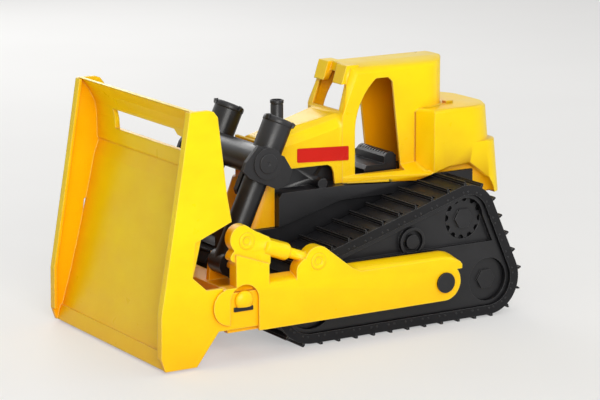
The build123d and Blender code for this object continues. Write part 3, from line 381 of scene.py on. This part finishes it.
def guard_mesh():
    above = slab_mesh("above", [(30.0, GUARD_TOP_Z), (60.0, GUARD_TOP_Z), (60.0, 170.0),
                                (30.0, 170.0)], -40.0, 40.0)
    return moulding(combined(cad_mesh("front_guard"), [("DIFFERENCE", above)]))


guard = placed("guard_moulding", guard_mesh(), "chassis", "yellow_plastic")
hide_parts("front_guard")


# Bare red label on each side, from the hood on to the cab, with rounded corners.  Each end
# is given as (x, y of the side, lower z, upper z).

LABEL_FRONT = (15.6, 24.9, 138.4, 150.2)
LABEL_REAR = (-32.8, 27.75, 136.1, 148.2)
LABEL_RADIUS = 1.2
LABEL_FACES = (0.05, 0.25)
LABEL_STEPS = 4


def label_mesh():
    outline = []
    for end, inward, upper, start in ((LABEL_REAR, 1, False, 180), (LABEL_FRONT, -1, False, 270),
                                      (LABEL_FRONT, -1, True, 0), (LABEL_REAR, 1, True, 90)):
        for step in range(LABEL_STEPS + 1):
            turn = math.radians(start + 90 * step / LABEL_STEPS)
            x = end[0] + LABEL_RADIUS * (inward + math.cos(turn))
            share = (LABEL_FRONT[0] - x) / (LABEL_FRONT[0] - LABEL_REAR[0])
            y, low, high = (front + share * (rear - front)
                            for front, rear in zip(LABEL_FRONT[1:], LABEL_REAR[1:]))
            middle = high - LABEL_RADIUS if upper else low + LABEL_RADIUS
            outline.append((x, y, middle + LABEL_RADIUS * math.sin(turn)))
    return loft_mesh("hood_label", [[[(x, y + rise, z) for x, y, z in outline]
                                     for rise in LABEL_FACES]])


both("hood_label", label_mesh(), "chassis", "yellow_plastic", red)


# Skirt: its lower edge runs on, and the chassis's side panels are cut back to make room for
# it.  Each end of the edge is given as (x, half width, lower z).

PANEL_NOTCH = [(-24.0, 118.0), (-26.0, 115.6), (-70.0, 113.8), (-70.0, 118.0)]
NOTCH_IN, NOTCH_OUT = 28.6, 40.0
SKIRT_ENDS = ((-27.0, 27.9, 116.7), (-69.0, 35.6, 115.2))
SKIRT_TOP_Z = 117.3
SKIRT_WALL = 3.0


def chassis_mesh():
    left = slab_mesh("left_notch", PANEL_NOTCH, NOTCH_IN, NOTCH_OUT)
    return moulding(combined(cad_mesh("chassis"), [
        ("DIFFERENCE", left), ("DIFFERENCE", mirrored(left, "right_notch"))]))


def skirt_lip_mesh():
    return loft_mesh("skirt_lip", [[
        [(x, half - SKIRT_WALL, low), (x, half, low), (x, half, SKIRT_TOP_Z),
         (x, half - SKIRT_WALL, SKIRT_TOP_Z)] for x, half, low in SKIRT_ENDS]])


tub = placed("chassis_moulding", chassis_mesh(), "chassis", "black_plastic")
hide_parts("chassis")
both("skirt_lip", skirt_lip_mesh(), "chassis", "yellow_plastic")


# Lids with hooked tabs on the lift cylinders, and the caps on the yoke's side plates.  The
# cylinders lean as the rods slide, and their axes pass behind the yoke's own axis.

joints = {row["name"]: row for row in frame["record"]["behaviour"]["joints"]}
YOKE = Vector(joints["yoke_tilt"]["pos_m"]) / MM
UP = Vector(joints["rod_slide_left"]["axis"]).normalized()
CYLINDER_Y = 39.5
CYLINDER_SETBACK = 5.0
AXIS_ORIGIN = Vector((YOKE.x - CYLINDER_SETBACK * UP.z, CYLINDER_Y,
                      YOKE.z + CYLINDER_SETBACK * UP.x))

LID_PROFILE = [(0.0, 37.4), (12.0, 37.4), (12.0, 33.2), (12.3, 33.2), (12.65, 33.7),
               (12.75, 34.3), (12.75, 36.3), (12.4, 37.2), (11.7, 38.0), (10.7, 38.4),
               (9.0, 38.5), (0.0, 38.5)]
CAP_PROFILE = [(0.0, 56.5), (8.2, 56.5), (8.2, 57.3), (7.9, 57.65), (7.2, 57.75),
               (1.6, 57.75), (1.2, 57.3), (0.0, 57.3)]
TAB_TURNS = (15, 135, 255)
TAB_PROFILE = ((12.2, 2.1, 33.6), (13.8, 1.7, 34.4), (14.7, 1.6, 37.6), (11.9, 1.6, 38.8))


def lid_tab_mesh():
    """Hooked tabs round the lid, from rows of (reach, half width, height)."""
    side = Vector((0, 1, 0))
    front = side.cross(UP)
    tabs = []
    for turn in map(math.radians, TAB_TURNS):
        out = math.cos(turn) * front + math.sin(turn) * side
        around = UP.cross(out)
        tabs.append([[AXIS_ORIGIN + out * reach + UP * height + around * half * sign
                      for reach, half, height in TAB_PROFILE] for sign in (-1, 1)])
    return loft_mesh("lid_tabs", tabs)


both("cylinder_lid", lathe_mesh("cylinder_lid", LID_PROFILE, AXIS_ORIGIN, UP),
     "lift_yoke", "black_plastic")
both("lid_tabs", lid_tab_mesh(), "lift_yoke", "black_plastic")
both("yoke_cap", lathe_mesh("yoke_cap", CAP_PROFILE, YOKE, (0, 1, 0)),
     "lift_yoke", "black_plastic")


# Exhaust stack with a rim and a hollow mouth, carried down to the sloped hood

STACK_X = 20.0
STACK_PROFILE = [(0.0, 162.0), (6.2, 162.0), (6.2, 166.6), (5.35, 168.0), (5.35, 184.0),
                 (5.1, 184.3), (5.1, 184.9), (5.7, 185.2), (5.75, 187.4), (5.4, 187.95),
                 (4.7, 187.95), (4.3, 187.5), (4.3, 181.0), (0.0, 181.0)]

stack = placed("stack_pipe", lathe_mesh("stack_pipe", STACK_PROFILE, (STACK_X, 0, 0), (0, 0, 1)),
               "chassis", "black_plastic")
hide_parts("exhaust_stack")


# Push arms: the CAD arm is cut down to its beam and foot, and gets a crowned top, its ears
# and its tilt cylinder.  The crown is given as (y, height) across the arm and as (x, share
# of that height) along it.

ARM_IN, ARM_OUT = 88.5, 99.6
EAR_FACE = 97.4
EAR_REAR, EAR_REAR_RADIUS = (41.3, 73.9), 12.3
EAR_FRONT = (106.2, 97.9)
NOSE, NOSE_RADIUS = (109.8, 99.8), 11.3
BEAM_TOP_Z, RIDGE_ROOT_Z = 55.0, 50.0
CROWN = [(ARM_OUT, 5.6), (98.9, 7.0), (96.8, 8.4), (92.0, 10.7), (89.6, 11.6), (ARM_IN, 11.4)]
CROWN_SHARES = [(87.5, 1.0), (2.0, 0.93), (-82.0, 0.86), (-88.0, 0.74), (-93.0, 0.52),
                (-97.0, 0.2), (-99.0, -0.25)]
CUT_AWAY = [(-120.0, 55.3), (86.9, 55.3), (86.9, 77.6), (117.0, 88.4), (117.0, 61.8),
            (140.0, 61.8), (140.0, 130.0), (-120.0, 130.0)]
FRONT_EAR = ([(87.0, 73.0), (116.9, 78.0), (117.3, 81.8), (119.4, 82.7), (120.8, 84.3),
              (121.0, 86.2), (119.6, 88.9), (117.6, 90.9), (117.7, 91.6)]
             + arc(NOSE, NOSE_RADIUS, -43, 103, 20)
             + [(99.0, 105.4), (86.0, 98.9), (84.6, 97.0), (84.6, 78.0)])
REAR_EAR = ([(61.6, 56.0), (61.6, 68.2), (61.1, 70.6), (59.9, 72.9), (57.9, 74.9), (56.0, 76.3),
             (54.2, 77.8)]
            + arc(EAR_REAR, EAR_REAR_RADIUS, 15, 124, 16)
            + [(9.5, 64.5), (1.0, 60.5), (1.0, 56.0)])
TILT_CYLINDER_Y = 93.1
TILT_CYLINDER = [(0.0, 18.0), (5.6, 18.0), (7.2, 20.0), (7.2, 39.6), (6.9, 40.8), (6.2, 41.6),
                 (4.6, 42.0), (4.3, 42.6), (4.3, 60.0), (0.0, 60.0)]
EAR_RING = [(2.8, -0.4), (6.9, -0.4), (6.9, 0.1), (6.7, 0.55), (6.1, 0.8), (4.9, 0.8),
            (4.2, 0.6), (3.7, 0.25), (2.8, 0.15), (2.8, -0.4)]


def ridge_mesh():
    """Crowned top of the arm, higher on its inner side, running down to the rear end."""
    rings = [[(x, ARM_IN, RIDGE_ROOT_Z), (x, ARM_OUT, RIDGE_ROOT_Z)]
             + [(x, y, BEAM_TOP_Z + height * share) for y, height in CROWN]
             for x, share in CROWN_SHARES]
    return loft_mesh("ridge", [rings])


def push_arm_mesh():
    beam = combined(cad_mesh("push_arm_left"),
                    [("DIFFERENCE", slab_mesh("above", CUT_AWAY, 80.0, 110.0))])
    finish_mesh(beam, flatten=True)
    run = (EAR_REAR[0] - EAR_FRONT[0], 0, EAR_REAR[1] - EAR_FRONT[1])
    from_front = (EAR_FRONT[0], TILT_CYLINDER_Y, EAR_FRONT[1])
    mesh = combined(beam, [
        ("UNION", ridge_mesh()),
        ("UNION", slab_mesh("front_ear", FRONT_EAR, ARM_IN, EAR_FACE)),
        ("UNION", slab_mesh("rear_ear", REAR_EAR, ARM_IN, ARM_OUT)),
        ("UNION", lathe_mesh("cylinder", TILT_CYLINDER, from_front, run, 40))])
    finish_mesh(mesh, 30, flatten=True)
    return mesh


arms = both("arm_moulding", push_arm_mesh(), "blade_frame", "yellow_plastic")
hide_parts("push_arm_left")
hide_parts("push_arm_right")
for name, (x, z), face_y in (("front_boss", EAR_FRONT, EAR_FACE),
                             ("rear_boss", EAR_REAR, ARM_OUT)):
    both(name, lathe_mesh(name, EAR_RING, (x, face_y, z), (0, 1, 0)),
         "blade_frame", "yellow_plastic")


# Ball pins: a dome cut flat below, and under it a thin black sheet that is painted shade for the
# dark gap there

BALL = (109.5, 50.5)
BALL_RADIUS = 8.3
DOME_BASE_Y, DOME_HEIGHT = 97.9, 4.05
DOME_FLAT_Z = 45.6
GAP_SHADE_SHEET = [(101.6, 42.0), (118.2, 42.0), (118.6, 42.4), (118.6, 45.2), (118.2, DOME_FLAT_Z),
        (101.6, DOME_FLAT_Z), (101.2, 45.2), (101.2, 42.4)]


def dome_mesh():
    profile = [(0.0, 88.6), (4.0, 88.6), (4.0, 97.3), (8.2, 97.3), (BALL_RADIUS, DOME_BASE_Y)]
    profile += [(BALL_RADIUS * math.cos(turn), DOME_BASE_Y + DOME_HEIGHT * math.sin(turn))
                for turn in map(math.radians, range(8, 90, 8))]
    profile.append((0.0, DOME_BASE_Y + DOME_HEIGHT))
    dome = lathe_mesh("dome", profile, (BALL[0], 0, BALL[1]), (0, 1, 0), 72)
    below = slab_mesh("below", [(90.0, 30.0), (130.0, 30.0), (130.0, DOME_FLAT_Z),
                                (90.0, DOME_FLAT_Z)], 97.0, 110.0)
    mesh = combined(dome, [("DIFFERENCE", below)])
    finish_mesh(mesh, 40)
    return mesh


pins = both("pin_dome", dome_mesh(), "blade_frame", "yellow_plastic")
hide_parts("ball_pin_left")
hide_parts("ball_pin_right")
# Painted shade: a thin black sheet under each dome, where the gap below it lies in shadow.
both("pin_gap_shade", slab_mesh("pin_gap_shade", GAP_SHADE_SHEET, 97.4, 98.4), "blade_frame", "black_plastic")


# The belt's path, as the source lays it: round the front idler, the sprocket and the rear
# idler, each given as (x, z, radius of the belt's outer face)

WHEELS = [(38.0, 36.0, 34.0), (-113.5, 87.0, 29.0), (-137.0, 32.0, 30.0)]
SHOE_PITCH = 17.0
WHEEL_STEPS = 60


def belt_corners():
    """Closed row of (x, z, radius, angle) round the wheels."""
    normals = []
    for first, second in zip(WHEELS, WHEELS[1:] + WHEELS[:1]):
        run_x, run_z = second[0] - first[0], second[1] - first[1]
        skew = math.asin((first[2] - second[2]) / math.hypot(run_x, run_z))
        normals.append(math.atan2(run_z, run_x) - math.pi / 2 + skew)
    corners = []
    for index, wheel in enumerate(WHEELS):
        arriving, leaving = normals[index - 1], normals[index]
        while leaving < arriving:
            leaving += 2 * math.pi
        corners += [(*wheel, arriving + (leaving - arriving) * step / WHEEL_STEPS)
                    for step in range(WHEEL_STEPS + 1)]
    return corners + corners[:1]


def on_wheel(corner, inset=0.0):
    x, z, radius, turn = corner
    return x + (radius - inset) * math.cos(turn), z + (radius - inset) * math.sin(turn)


CORNERS = belt_corners()
STRIDES = [math.dist(on_wheel(first), on_wheel(second))
           for first, second in zip(CORNERS, CORNERS[1:])]
BELT_LENGTH = sum(STRIDES)
SHOES = round(BELT_LENGTH / SHOE_PITCH)


def belt_spot(shoe, shift, inset):
    """(x, z) of a shoe's middle, shifted along the belt and set in from its outer face."""
    distance = ((shoe + 0.5) * BELT_LENGTH / SHOES + shift) % BELT_LENGTH
    for first, second, stride in zip(CORNERS, CORNERS[1:], STRIDES):
        if distance <= stride:
            break
        distance -= stride
    return [start + distance / stride * (end - start)
            for start, end in zip(on_wheel(first, inset), on_wheel(second, inset))]


# Pairs of link pins along the outer side of each track

LINK_INSET, LINK_SHIFT = 5.6, 2.8
LINK_PROFILE = ((0.95, 85.45), (0.95, 85.62), (0.7, 85.78))
LINK_SIDES = 10


def link_pin_mesh():
    turns = [2 * math.pi * i / LINK_SIDES for i in range(LINK_SIDES)]
    pins = []
    for shoe in range(SHOES):
        for shift in (-LINK_SHIFT, LINK_SHIFT):
            x, z = belt_spot(shoe, shift, LINK_INSET)
            pins.append([[(x + radius * math.cos(turn), y, z + radius * math.sin(turn))
                          for turn in turns] for radius, y in LINK_PROFILE])
    return loft_mesh("link_pins", pins, 35)


both("link_pins", link_pin_mesh(), "chassis", "black_plastic")


# Grousers: a thin bar along the crest of each rib, trimmed where the belt meets the ground.
# GROUSER_ENDS gives (y, how far the crest drops there).

GROUSER_ROOT, GROUSER_HEIGHT = 0.3, 4.0
GROUSER_HALF, CREST_HALF = 0.85, 0.6
GROUSER_ENDS = ((35.7, 0.0), (85.2, 0.0), (85.6, 0.3))
GROUND_GAP, LOWEST_Z = 0.05, 0.03


def grouser_mesh():
    bars = []
    for shoe in range(SHOES):
        root = Vector(belt_spot(shoe, 0.0, GROUSER_ROOT))
        out = (Vector(belt_spot(shoe, 0.0, -1.0)) - root).normalized()
        along = Vector((-out.y, out.x))
        rise = GROUSER_HEIGHT
        if out.y < -0.05:
            rise = min(rise, (root.y - GROUND_GAP) / -out.y)
        bar = []
        for y, drop in GROUSER_ENDS:
            spots = [root + out * level + along * half for half, level in (
                (GROUSER_HALF, 0.0), (CREST_HALF, rise - drop),
                (-CREST_HALF, rise - drop), (-GROUSER_HALF, 0.0))]
            bar.append([(spot.x, y, max(spot.y, LOWEST_Z)) for spot in spots])
        bars.append(bar)
    return loft_mesh("grousers", bars)


both("grousers", grouser_mesh(), "chassis", "track_plastic")


# Stage and world.  The pale floor and the bright background are for the rays that show
# them, and a dimmer world lights the part.

FLOOR_HALF = 9.0
FLOOR_GLOW = 0.4
DIM_COLOUR, DIM_STRENGTH = (1.0, 0.96, 0.91, 1), 0.30
BRIGHT_COLOUR, BRIGHT_STRENGTH = (1, 1, 1, 1), 1.0


def seen_rays(nodes, links):
    """1 for the rays that show the stage: camera, glossy and transmission rays."""
    rays = nodes.new("ShaderNodeLightPath")
    total = rays.outputs["Is Camera Ray"]
    for kind in ("Is Glossy Ray", "Is Transmission Ray"):
        either = nodes.new("ShaderNodeMath")
        either.operation = "MAXIMUM"
        links.new(total, either.inputs[0])
        links.new(rays.outputs[kind], either.inputs[1])
        total = either.outputs["Value"]
    return total


def floor_material():
    material, nodes, links, shader = new_material("pale_floor")
    where = nodes.new("ShaderNodeTexCoord").outputs["Object"]
    tone = ramp(nodes, links, noise(nodes, links, where, 3.0, 2.0), 0.3, 0.7,
                (0.80, 0.80, 0.79), (0.84, 0.84, 0.83))
    links.new(tone, shader.inputs["Base Color"])
    shader.inputs["Roughness"].default_value = 0.7
    share = nodes.new("ShaderNodeMath")
    share.operation = "MULTIPLY"
    share.inputs[1].default_value = FLOOR_GLOW
    links.new(seen_rays(nodes, links), share.inputs[0])
    mixed = nodes.new("ShaderNodeMixShader")
    links.new(share.outputs["Value"], mixed.inputs["Fac"])
    links.new(shader.outputs["BSDF"], mixed.inputs[1])
    links.new(nodes.new("ShaderNodeEmission").outputs["Emission"], mixed.inputs[2])
    links.new(mixed.outputs["Shader"], nodes["Material Output"].inputs["Surface"])
    return material


def studio_world():
    world = bpy.data.worlds.new("studio")
    world.use_nodes = True
    nodes, links = world.node_tree.nodes, world.node_tree.links
    nodes.clear()
    choose = nodes.new("ShaderNodeMixShader")
    links.new(seen_rays(nodes, links), choose.inputs[0])
    for socket, colour, strength in ((1, DIM_COLOUR, DIM_STRENGTH),
                                     (2, BRIGHT_COLOUR, BRIGHT_STRENGTH)):
        background = nodes.new("ShaderNodeBackground")
        background.inputs["Color"].default_value = colour
        background.inputs["Strength"].default_value = strength
        links.new(background.outputs[0], choose.inputs[socket])
    links.new(choose.outputs[0], nodes.new("ShaderNodeOutputWorld").inputs[0])
    return world


floor_mesh = bpy.data.meshes.new("floor")
floor_mesh.from_pydata([(x * FLOOR_HALF, y * FLOOR_HALF, 0)
                        for x, y in ((-1, -1), (1, -1), (1, 1), (-1, 1))], [], [(0, 1, 2, 3)])
floor_mesh.materials.append(floor_material())
floor = linked("floor", floor_mesh)
bpy.context.scene.world = studio_world()


# Lamps, in metres and watts: three soft ones on the seen side and a fill on the far one

LAMP_TARGET = Vector((0, 0, 0.1))


def lamp(name, place, size, power, colour=(1, 1, 1)):
    light = bpy.data.lights.new(name, "AREA")
    light.shape = "RECTANGLE"
    light.size, light.size_y = size
    light.energy = power
    light.color = colour
    holder = linked(name, light)
    holder.location = place
    aim = LAMP_TARGET - Vector(place)
    holder.rotation_euler = aim.to_track_quat("-Z", "Y").to_euler()


lamp("key", (0.75, 2.0, 0.85), (1.2, 1.0), 35.0, (1.0, 0.99, 0.96))
lamp("top", (0.0, 0.3, 1.9), (1.6, 1.2), 7.0)
lamp("side", (-1.9, 0.7, 0.9), (0.9, 1.1), 4.0)
lamp("far", (-0.3, -1.9, 1.0), (1.2, 1.0), 13.0)


# Camera at the photograph's view

CAMERA_PLACE = (1.0815, 1.7701, 0.5510)
CAMERA_FORWARD = (-0.5103, -0.8334, -0.2121)
CAMERA_ROLL = math.radians(-0.0815)
CAMERA_LENS, SENSOR_WIDTH = 152.07, 36.0
NEAREST, FARTHEST = 0.05, 60.0

camera_data = bpy.data.cameras.new("camera")
camera_data.lens = CAMERA_LENS
camera_data.sensor_width = SENSOR_WIDTH
camera_data.clip_start = NEAREST
camera_data.clip_end = FARTHEST
camera = linked("camera", camera_data)
forward = Vector(CAMERA_FORWARD).normalized()
right = forward.cross(Vector((0, 0, 1))).normalized()
up = right.cross(forward)
across = math.cos(CAMERA_ROLL) * right + math.sin(CAMERA_ROLL) * up
facing = Matrix((across, across.cross(forward), -forward)).transposed().to_4x4()
camera.matrix_world = Matrix.Translation(CAMERA_PLACE) @ facing
bpy.context.scene.camera = camera

bpy.context.scene.view_settings.view_transform = "Standard"
